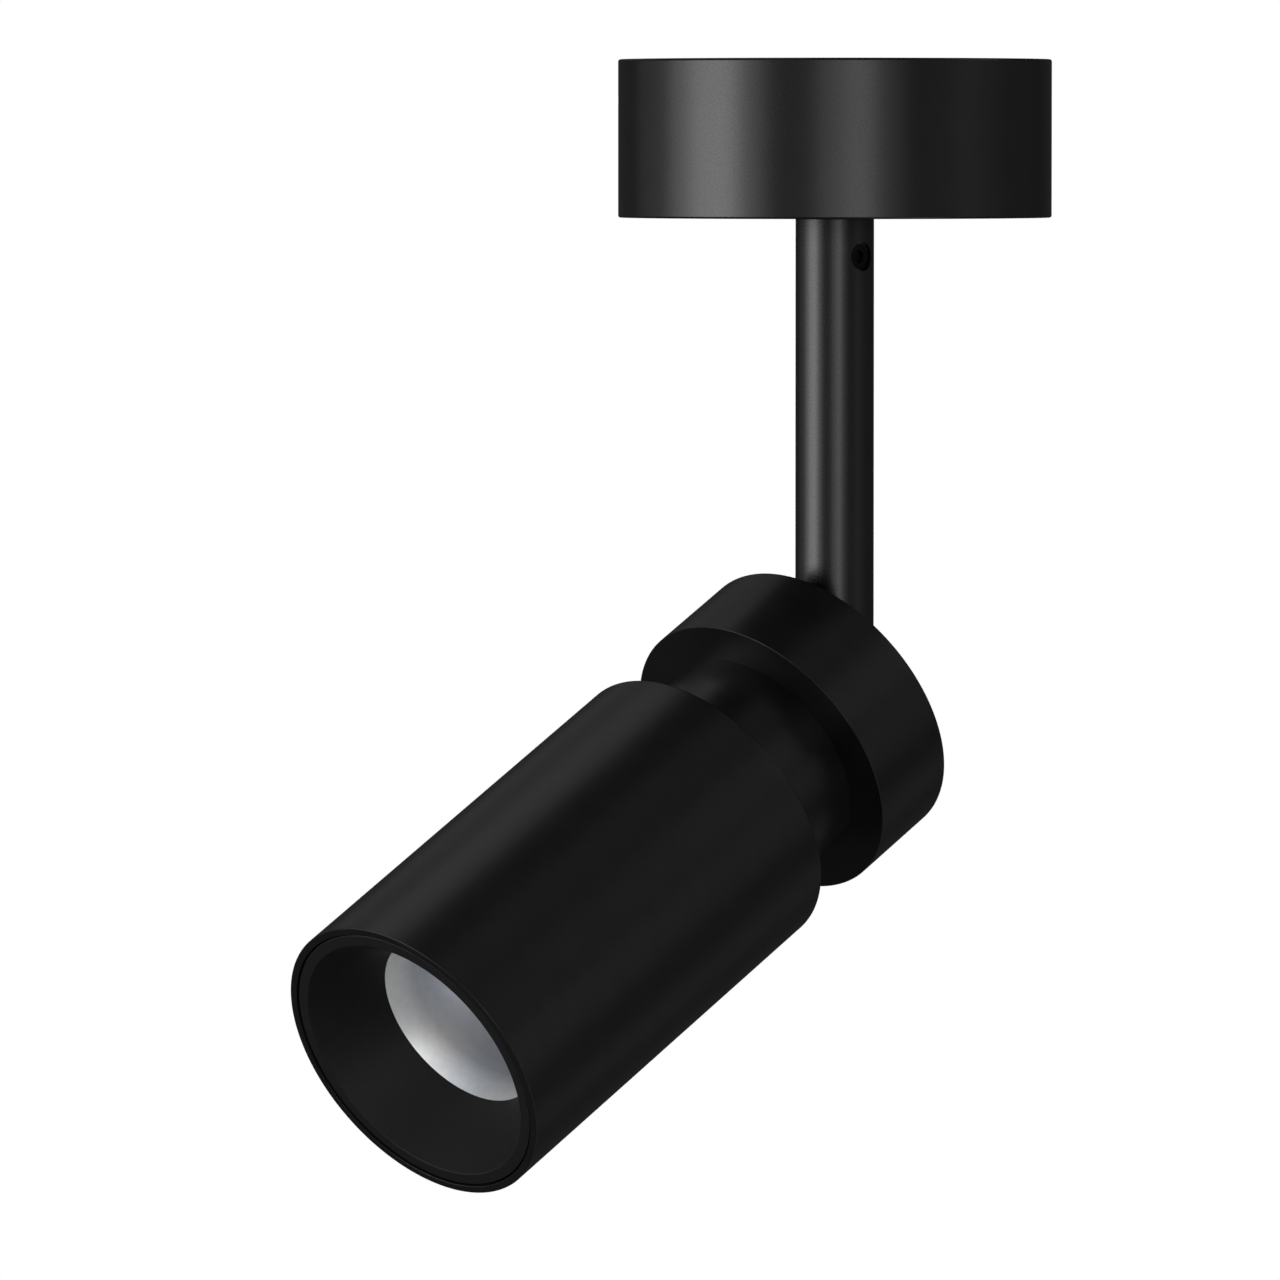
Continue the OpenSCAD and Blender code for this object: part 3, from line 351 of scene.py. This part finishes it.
# Earth screw and clamping screws. Turned from brass, with the fine marks of the tool round them. The first
# goes up into the plate, and one of the others holds the wire in each well of the terminal block.
brass = finish(
    "brass", ((0.62, 0.44, 0.17), (0.80, 0.61, 0.30)), rough=(0.22, 0.38),
    cloud=0.7 * MM, pits=0.15 * MM, depth=0.004 * MM, lay=(1, 1, 0.3), Metallic=1.0)
dress(brass, "earth_screw", "terminal_screws")

# Driver. The power supply's moulded case of light grey plastic, with a lid snapped on below and two
# tabs that zinc-plated screws hold to the plate.
grey_plastic = finish(
    "grey_plastic", ((0.60, 0.60, 0.58), (0.66, 0.66, 0.64)), rough=(0.42, 0.56),
    cloud=9 * MM, pits=0.4 * MM, depth=0.020 * MM)
dress(grey_plastic, "driver_case", "driver_lid")
dress(zinc_steel, "driver_screws")

# Terminal block. A moulded bar of white nylon beside the driver, with a wire hole and a screw well for each
# of its two poles.
white_plastic = finish(
    "white_plastic", ((0.76, 0.76, 0.74), (0.82, 0.82, 0.80)), rough=(0.30, 0.40),
    cloud=5 * MM, pits=0.5 * MM, depth=0.006 * MM, Subsurface_Weight=0.05)
dress(white_plastic, "terminal_block")

# Mains leads. Two stiff wires in smooth brown vinyl. They leave the driver's end and turn back into the
# terminal block.
brown_wire = finish(
    "brown_wire", ((0.115, 0.050, 0.026), (0.150, 0.066, 0.034)), rough=(0.34, 0.44),
    cloud=3 * MM, pits=0.3 * MM, depth=0.003 * MM)
dress(brown_wire, "mains_leads")

# Swivel. A hollow threaded pin of blackened steel that a zinc-plated washer and nut clamp through the
# canopy's floor. The stem turns on it, and the set screw's point runs in its groove.
dress(black_steel, "swivel_spigot")
dress(zinc_steel, "spigot_washer", "spigot_nut")

# Stem tube. A drawn steel tube of 15.4 mm, powder coated with the canopy. The hole near its top
# lets the set screw in, and the one at its foot the screw that holds the knuckle.
stem_r, stem_bore_r, stem_top, stem_foot = 7.7 * MM, 6.5 * MM, -31.1 * MM, -113.3 * MM
set_hole_r, set_hole_z, foot_hole_z, foot_hole_r = 2.8 * MM, -38.6 * MM, -107.3 * MM, 1.55 * MM
stem_pipe = turned("stem_pipe", eased([
    (stem_bore_r, stem_foot), (stem_r, stem_foot), (stem_r, stem_top), (stem_bore_r, stem_top)],
    [0.15 * MM, 0.25 * MM, 0.25 * MM, 0.15 * MM], run=2 * MM), upright, around=128)
drilled(stem_pipe, upright, (stem_r, 0, set_hole_z), (1, 0, 0), set_hole_r, side_drill)
drilled(stem_pipe, upright, (0, stem_r, foot_hole_z), (0, 1, 0), foot_hole_r, side_drill)
finished(stem_pipe, satin_black, "stem", "satin_black", "stem_tube")

# Stem collar. A sleeve turned from aluminium bar, in the top of the tube. It turns on the spigot and holds
# the set screw's thread.
bare_aluminium = finish(
    "bare_aluminium", ((0.62, 0.63, 0.64), (0.74, 0.75, 0.76)), rough=(0.24, 0.36),
    cloud=2 * MM, pits=0.2 * MM, depth=0.004 * MM, lay=(1, 1, 0.25), Metallic=1.0)
dress(bare_aluminium, "stem_collar")

# Set screw. A headless screw of blackened steel, recessed in the tube's wall, with a round point that runs
# in the spigot's groove.
dress(black_steel, "set_screw")

# Stem cable. A round two-core cable in a smooth black sheath. It hangs through the spigot and the stem, down
# to the knuckle's slot.
cable_sheath = finish(
    "cable_sheath", ((0.026, 0.026, 0.027), (0.034, 0.034, 0.035)), rough=(0.40, 0.52),
    cloud=2 * MM, pits=0.3 * MM, depth=0.005 * MM, lay=(1, 1, 4))
dress(cable_sheath, "stem_cable")

# Knuckle. A turned and milled aluminium plug with a forked eye, coated in the head's fine matte black. A
# headless screw of blackened steel locks it in the foot of the tube.
matte_black = finish(
    "matte_black", ((0.0065, 0.0065, 0.0070), (0.0088, 0.0088, 0.0095)), rough=(0.30, 0.35),
    cloud=5 * MM, pits=0.22 * MM, depth=0.006 * MM, Specular_IOR_Level=0.45)
dress(matte_black, "knuckle")
dress(black_steel, "knuckle_screw")

# Friction washers. Thin discs of natural nylon on both sides of the knuckle, which give the tilt its even
# drag.
nylon = finish(
    "nylon", ((0.70, 0.67, 0.58), (0.77, 0.74, 0.65)), rough=(0.38, 0.50),
    cloud=2 * MM, pits=0.3 * MM, depth=0.005 * MM, Subsurface_Weight=0.08)
dress(nylon, "friction_washers")

# Pivot screws. Two screws of blackened steel on the tilt axis, with low heads outside the hinge plate's ears
# and a zinc-plated spring washer under each head.
dress(black_steel, "pivot_screws")
dress(zinc_steel, "spring_washers")

# Hinge plate. A turned and milled aluminium disc at the bottom of the ring's dish, in the same matte black,
# with two ears that take the pivot screws. A small rubber bush guards the wires through it.
dress(matte_black, "hinge_plate")
dress(black_rubber, "wire_grommet")

# Ring. The short turned aluminium ring at the back of the head, which aims 60 degrees up from straight
# down. Its rear is a dish with the hinge plate at its bottom, and the neck's spigot sits in its front.
tilt_axis = np.array((0.0, 0.0, -124.3)) * MM
head_right = np.array((1.0, 0.0, 0.0))
head_over = np.array((0.0, -0.5, 0.8660254))
head_ahead = np.array((0.0, -0.8660254, -0.5))


def aimed(points):
    """The head's pieces are drawn along their own axis, from the tilt axis towards the light. A point goes to
    tilt axis + x times right + y times over + z times ahead."""
    return tilt_axis + points[:, :1] * head_right + points[:, 1:2] * head_over + points[:, 2:3] * head_ahead


head_r, ring_rear, ring_front = 30 * MM, 3.7 * MM, 23.8 * MM
dish_r, hinge_plate_front, spigot_hole_r = 27.6 * MM, 13.7 * MM, 20.95 * MM
ring = turned("ring", eased([
    (spigot_hole_r, hinge_plate_front), (dish_r, hinge_plate_front), (dish_r, ring_rear), (head_r, ring_rear),
    (head_r, ring_front), (spigot_hole_r, ring_front)],
    [0.15 * MM, 0.15 * MM, 0.35 * MM, edge_r, 0.15 * MM, 0.15 * MM], run=3 * MM), aimed, around=224)
finished(ring, matte_black, "head", "matte_black", "rear_housing")

# Neck. A turned aluminium spacer between the ring and the barrel, with a spigot at each end and three holes
# along its wall for the long screws.
neck_r, neck_spigot_r, neck_bore_r = 22.3 * MM, 20.9 * MM, 14 * MM
neck_rear, barrel_rear, neck_front = 17.8 * MM, 43.2 * MM, 45.4 * MM
assembly_screw_r, assembly_hole_r, neck_drill = 18 * MM, 1.55 * MM, 40 * MM
neck = turned("neck_spacer", eased([
    (neck_bore_r, neck_rear), (neck_spigot_r, neck_rear), (neck_spigot_r, ring_front), (neck_r, ring_front),
    (neck_r, barrel_rear), (neck_spigot_r, barrel_rear), (neck_spigot_r, neck_front),
    (neck_bore_r, neck_front)],
    [0.2 * MM, 0.3 * MM, 0.05 * MM, 0.05 * MM, 0.05 * MM, 0.05 * MM, 0.3 * MM, 0.2 * MM], run=3 * MM), aimed)
for turn in (30, 150, 270):
    at = np.array((math.cos(math.radians(turn)), math.sin(math.radians(turn)), 0.0)) * assembly_screw_r
    drilled(neck, aimed, at + (0, 0, (neck_rear + neck_front) / 2), (0, 0, 1), assembly_hole_r, neck_drill)
finished(neck, matte_black, "head", "matte_black", "neck")

# Barrel. A long turned aluminium cup. Its rear wall is clamped between the neck and the heat sink,
# and its mouth is bored wider for the optics.
barrel_front, barrel_bore_r, mouth_bore_r = 131.5 * MM, 27.8 * MM, 28.5 * MM
sink_rear, mouth_step = 45.7 * MM, 114.2 * MM
barrel = turned("barrel_cup", eased([
    (spigot_hole_r, barrel_rear), (head_r, barrel_rear), (head_r, barrel_front), (mouth_bore_r, barrel_front),
    (mouth_bore_r, mouth_step), (barrel_bore_r, mouth_step), (barrel_bore_r, sink_rear),
    (spigot_hole_r, sink_rear)],
    [0.15 * MM, edge_r, 0.18 * MM, 0.12 * MM, 0.1 * MM, 0.1 * MM, 0.3 * MM, 0.15 * MM], run=3 * MM),
    aimed, around=224)
finished(barrel, matte_black, "head", "matte_black", "barrel")

# Assembly screws. Three long screws of blackened steel that clamp the hinge plate, ring, neck and barrel to
# the heat sink's flange.
dress(black_steel, "assembly_screws")

# Heat sink. Machined from aluminium bar: a flange, a core with straight fins and a seat for the
# light-emitting board. The marks of the cutter run round its axis.
along_head = math.radians(-120)
machined_aluminium = finish(
    "machined_aluminium", ((0.60, 0.61, 0.62), (0.73, 0.74, 0.75)), rough=(0.26, 0.40),
    cloud=4 * MM, pits=0.25 * MM, depth=0.005 * MM, lay=(1, 1, 0.2), turn=along_head, Metallic=1.0)
dress(machined_aluminium, "heat_sink")

# Light engine. A ceramic board with a disc of yellow silicone over its diodes lies on a soft grey pad. A
# white moulded holder with a flared window goes over it, with two zinc-plated screws into the heat sink.
thermal_grey = finish(
    "thermal_grey", ((0.40, 0.43, 0.47), (0.46, 0.49, 0.53)), rough=(0.60, 0.74),
    cloud=2 * MM, pits=0.3 * MM, depth=0.010 * MM)
dress(thermal_grey, "thermal_pad")
board_white = finish(
    "board_white", ((0.74, 0.74, 0.72), (0.80, 0.80, 0.78)), rough=(0.36, 0.46),
    cloud=2 * MM, pits=0.2 * MM, depth=0.003 * MM)
dress(board_white, "cob_board")
phosphor = finish(
    "phosphor", ((0.80, 0.52, 0.06), (0.88, 0.62, 0.12)), rough=(0.18, 0.28),
    cloud=0.9 * MM, pits=0.5 * MM, depth=0.006 * MM, Subsurface_Weight=0.1)
dress(phosphor, "cob_phosphor")
dress(white_plastic, "cob_holder")
dress(zinc_steel, "cob_holder_screws")

# Head leads. Two thin wires in smooth red insulation. They go from the hinge plate's bush past the heat
# sink's core and along its fins to the board.
red_wire = finish(
    "red_wire", ((0.36, 0.018, 0.014), (0.44, 0.026, 0.020)), rough=(0.32, 0.42),
    cloud=2 * MM, pits=0.3 * MM, depth=0.003 * MM)
dress(red_wire, "head_leads")

# Retaining ring. Turned from aluminium, in the head's matte black. It rests on the step in the barrel's bore
# and carries the reflector's rim.
dress(matte_black, "reflector_ring")

# Reflector. A bowl of thin aluminium that opens fast at its throat, with a fine dimpled satin
# surface and a flat rim that rests on the retaining ring.
bowl_mouth_r, bowl_throat_r, bowl_wall = 18.4 * MM, 7.4 * MM, 0.8 * MM
bowl_rear, bowl_front, bowl_power = 88.9 * MM, 117.2 * MM, 0.62
bowl_depth = bowl_front - bowl_rear
rim_r, rim_rear = 24.4 * MM, 116.0 * MM
dimple, dimple_depth, dimple_seed = 0.7 * MM, 0.009 * MM, 11
lattice_r, lattice_rows = 14 * MM, 60


def bowl_radius(share):
    """The bowl's inner radius at a share of its depth: throat + (mouth - throat) x share to the power
    bowl_power."""
    return bowl_throat_r + (bowl_mouth_r - bowl_throat_r) * share ** bowl_power


def dimples(t, along, seed):
    """Smooth bumps from random heights on a lattice of dimple size, which closes round the bowl: the heights
    are blended between the four lattice points around each place with a cosine ease."""
    lots = np.random.default_rng(seed)
    round_count = int(2 * np.pi * lattice_r / dimple)
    heights = lots.uniform(-1, 1, (round_count, lattice_rows))
    u, v = t / (2 * np.pi) * round_count, along / dimple
    i, j = np.floor(u).astype(int), np.floor(v).astype(int)
    a, b = (1 - np.cos(np.pi * (u - i))) / 2, (1 - np.cos(np.pi * (v - j))) / 2

    def height(round_step, row_step):
        return heights[(i + round_step) % round_count, (j + row_step) % lattice_rows]

    return ((1 - a) * (1 - b) * height(0, 0) + a * (1 - b) * height(1, 0)
            + (1 - a) * b * height(0, 1) + a * b * height(1, 1))


# The rows lie closer together at the throat, where the bowl opens fast, and the dimples fade towards both
# ends of the bowl.
inside_rows, outside_rows, bowl_around = 150, 40, 360
mouth_fade, throat_fade = 8, 40
inside_share = np.linspace(0, 1, inside_rows) ** 1.5
outside_share = np.linspace(1, 0, outside_rows) ** 2 * (rim_rear - bowl_rear) / bowl_depth
inside = np.stack([bowl_radius(inside_share), bowl_rear + inside_share * bowl_depth], 1)
outside = np.stack([bowl_radius(outside_share) + bowl_wall, bowl_rear + outside_share * bowl_depth], 1)
rim = np.array([(rim_r, bowl_front), (rim_r, rim_rear)])
section = np.concatenate([inside, rim, outside])[::-1]
t = np.linspace(0, 2 * np.pi, bowl_around, endpoint=False)[:, None]
dimpled = np.zeros(len(section))
dimpled[-inside_rows:] = (
    np.minimum(1, mouth_fade * (1 - inside_share)) * np.minimum(1, throat_fade * inside_share))[::-1]
travel = np.concatenate([[0], np.cumsum(np.linalg.norm(np.diff(section, axis=0), axis=1))])
across = section[:, 0] + 0 * t + dimple_depth * dimpled * dimples(t, travel + 0 * t, dimple_seed)
bowl = grid_mesh("reflector_bowl", np.stack(
    [np.cos(t) * across, np.sin(t) * across, 0 * t + section[:, 1]], -1), aimed)
satin_silver_painted_shade = finish(
    "satin_silver_painted_shade", ((0.92, 0.92, 0.92), (0.97, 0.97, 0.97)), rough=(0.46, 0.54),
    cloud=1.6 * MM, pits=0.35 * MM, depth=0.005 * MM, Metallic=1.0)

# The metal's colour is multiplied by painted shade and painted reflection along the depth in the bowl, on the
# head's own axis: darker half-way down, where the bowl mirrors the dark cone and its own dark inside, a little
# blue towards the throat and a little warm at the rim.
silver = satin_silver_painted_shade.node_tree
silver_gloss = silver.nodes["Principled BSDF"]
silver_place, silver_depth, painted_shade_ramp, painted_shade_mix, silver_span = (silver.nodes.new(kind) for kind in (
    "ShaderNodeTexCoord", "ShaderNodeVectorMath", "ShaderNodeValToRGB", "ShaderNodeMix", "ShaderNodeMapRange"))
silver_depth.operation = "DOT_PRODUCT"
silver_depth.inputs[1].default_value = head_ahead
silver_span.inputs["From Min"].default_value = float(tilt_axis @ head_ahead) + bowl_rear
silver_span.inputs["From Max"].default_value = float(tilt_axis @ head_ahead) + bowl_front
# The ramp's stops are painted shade and painted reflection: bluish light grey at the throat, darkest grey
# between 0.68 and 0.77 of the depth, and nearly white, a little warm, at the rim.
painted_shade_stops = painted_shade_ramp.color_ramp.elements
painted_shade_stops[0].position, painted_shade_stops[0].color = 0.55, (0.86, 0.88, 0.93, 1)
painted_shade_stops[1].position, painted_shade_stops[1].color = 0.97, (1.0, 0.99, 0.96, 1)
for depth_share, tone in (
        (0.68, (0.65, 0.68, 0.72, 1)), (0.77, (0.65, 0.66, 0.68, 1)), (0.87, (0.90, 0.90, 0.90, 1))):
    painted_shade_stops.new(depth_share).color = tone
painted_shade_mix.data_type, painted_shade_mix.blend_type = "RGBA", "MULTIPLY"
painted_shade_mix.inputs["Factor"].default_value = 1.0
cloudy = silver_gloss.inputs["Base Color"].links[0].from_socket
cloudy_in, painted_shade_in = (socket for socket in painted_shade_mix.inputs if socket.type == "RGBA")
with_painted_shade = next(socket for socket in painted_shade_mix.outputs if socket.type == "RGBA")
silver.links.new(silver_place.outputs["Object"], silver_depth.inputs[0])
silver.links.new(silver_depth.outputs["Value"], silver_span.inputs["Value"])
silver.links.new(silver_span.outputs["Result"], painted_shade_ramp.inputs["Fac"])
silver.links.new(cloudy, cloudy_in)
silver.links.new(painted_shade_ramp.outputs["Color"], painted_shade_in)
silver.links.new(with_painted_shade, silver_gloss.inputs["Base Color"])
finished(bowl, satin_silver_painted_shade, "head", "reflector_silver", "reflector")
reflector_only.objects.link(bowl)

# Anti-glare cone. Moulded in matte black and pushed into the barrel's mouth: a flat lip, a cone down
# to the reflector and a skirt behind the lip.
cone_mouth_r, cone_end_r, cone_lip, cone_end = 25.9 * MM, 18.2 * MM, 131.2 * MM, 117.2 * MM
skirt_r, land_r, skirt_t, land_front, land_rear = 28.2 * MM, 28.45 * MM, 1.1 * MM, 124.2 * MM, 116.3 * MM
lip_t, cone_wall = 2 * MM, 1.4 * MM
lip_rear = cone_lip - lip_t
cone_slope = (cone_mouth_r - cone_end_r) / (cone_lip - cone_end)
cone_back = cone_wall * math.sqrt(1 + cone_slope ** 2)
cone_black = finish(
    "cone_black", ((0.0014, 0.0014, 0.0015), (0.0022, 0.0022, 0.0023)), rough=(0.58, 0.66),
    cloud=4 * MM, pits=0.2 * MM, depth=0.003 * MM, Specular_IOR_Level=0.48)
cone = turned("glare_cone", eased([
    (cone_end_r, cone_end), (cone_mouth_r, cone_lip), (skirt_r, cone_lip), (skirt_r, land_front),
    (land_r, land_front), (land_r, land_rear), (land_r - skirt_t, land_rear), (land_r - skirt_t, lip_rear),
    (cone_end_r + cone_back + cone_slope * (lip_rear - cone_end), lip_rear),
    (cone_end_r + cone_back, cone_end)],
    [0.15 * MM, 0.25 * MM, 0.2 * MM, 0.08 * MM, 0.08 * MM, 0.2 * MM, 0.2 * MM, 0.1 * MM, 0.1 * MM, 0.2 * MM],
    run=2 * MM), aimed, around=224)
finished(cone, cone_black, "head", "cone_black", "baffle")
